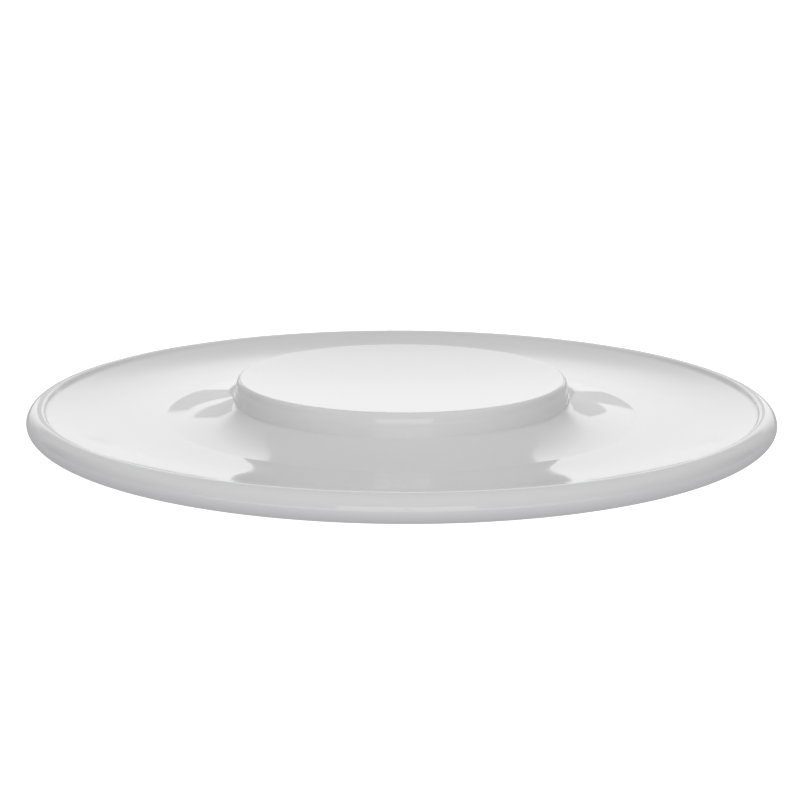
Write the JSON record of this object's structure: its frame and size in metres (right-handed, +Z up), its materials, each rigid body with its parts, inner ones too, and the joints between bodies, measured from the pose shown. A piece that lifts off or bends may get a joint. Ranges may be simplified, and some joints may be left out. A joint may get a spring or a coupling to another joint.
{
  "type": "lazy susan turntable",
  "caption": "Round glazed porcelain serving turntable with a raised, slightly dished centre and a rolled rim, turning on a low ball-bearing base.",
  "frame": {"origin": "centre of the base, on the surface that the feet stand on", "axes": "+Z up along the axis of rotation; +X and +Y are equivalent directions across the tray"},
  "size_m": [0.3999, 0.4, 0.0395],
  "materials": {
    "porcelain": "glossy glaze",
    "base_plastic": "fine matt texture",
    "carrier_plastic": "satin",
    "cage_plastic": "natural nylon",
    "silicone": "matt",
    "foot_rubber": "matt",
    "bearing_steel": "ground",
    "ball_steel": "polished",
    "screw_steel": "zinc plated",
    "bush_bronze": "sintered bronze",
    "insert_brass": "bright"
  },
  "bodies": {
    "base": {"base_shell": "base_plastic", "base_cover": "base_plastic", "cover_screws": "screw_steel", "rubber_feet": "foot_rubber", "lower_race": "bearing_steel", "lower_race_screws": "screw_steel", "lower_inserts": "insert_brass", "spindle": "bearing_steel", "retaining_clip": "screw_steel"},
    "cage": {"ball_cage": "cage_plastic", "bearing_balls": "ball_steel"},
    "turntable": {"carrier": "carrier_plastic", "grip_ring": "silicone", "centring_pads": "silicone", "spindle_cap": "carrier_plastic", "thrust_washer": "cage_plastic", "disc_spring": "bearing_steel", "bush": "bush_bronze", "upper_race": "bearing_steel", "upper_race_screws": "screw_steel", "upper_inserts": "insert_brass"},
    "tray": {"tray": "porcelain"}
  },
  "joints": [
    {"name": "turntable_spin", "type": "hinge", "parent": "base", "child": "turntable", "pos_m": [0, 0, 0.013], "axis": [0, 0, 1], "continuous": true},
    {"name": "cage_spin", "type": "hinge", "parent": "base", "child": "cage", "pos_m": [0, 0, 0.013], "axis": [0, 0, 1], "continuous": true},
    {"name": "tray_lift", "type": "slide", "parent": "turntable", "child": "tray", "axis": [0, 0, 1], "range_m": [0, 0.045]}
  ],
  "couplings": [
    {"joint": "cage_spin", "follows": "turntable_spin", "ratio": 0.5}
  ]
}
